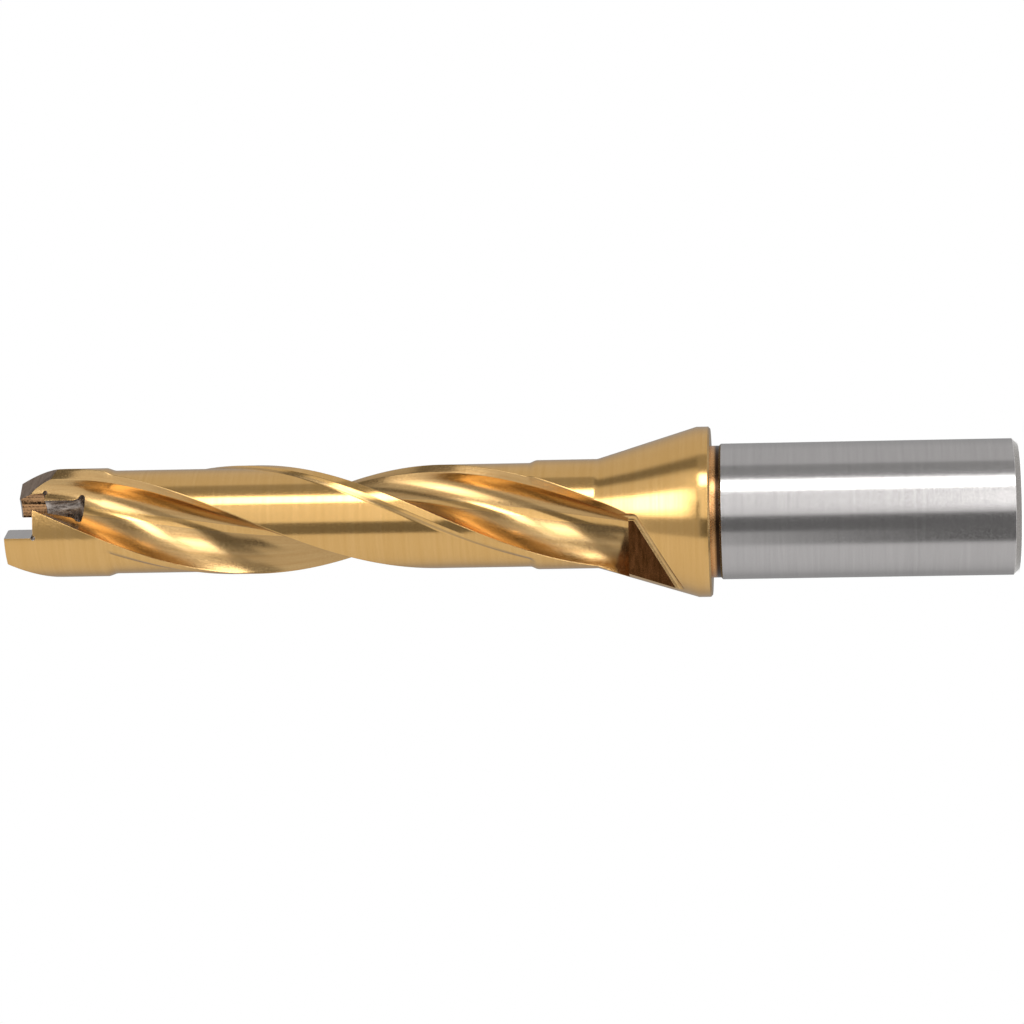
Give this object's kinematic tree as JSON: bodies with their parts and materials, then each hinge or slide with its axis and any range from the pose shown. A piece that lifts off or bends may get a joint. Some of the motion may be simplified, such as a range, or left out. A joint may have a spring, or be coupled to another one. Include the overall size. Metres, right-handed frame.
{
  "type": "indexable drill",
  "caption": "Slender drill body with helical chip flutes, an empty seat between jaws for an exchangeable cutting head, a cone with a flange, and a plain round shank.",
  "frame": {"origin": "centre of the shank's end face, on which the drill stands", "axes": "+Z along the drill's axis, from the shank to the tip; +X is the direction that the picture shows as up, and the camera looks along +Y"},
  "size_m": [0.0314, 0.0314, 0.1863],
  "materials": {
    "drill_body": "gold titanium nitride coating on ground steel, satin; the shank behind the flange is bare"
  },
  "bodies": {
    "root": {"drill_body": "drill_body"}
  },
  "joints": []
}
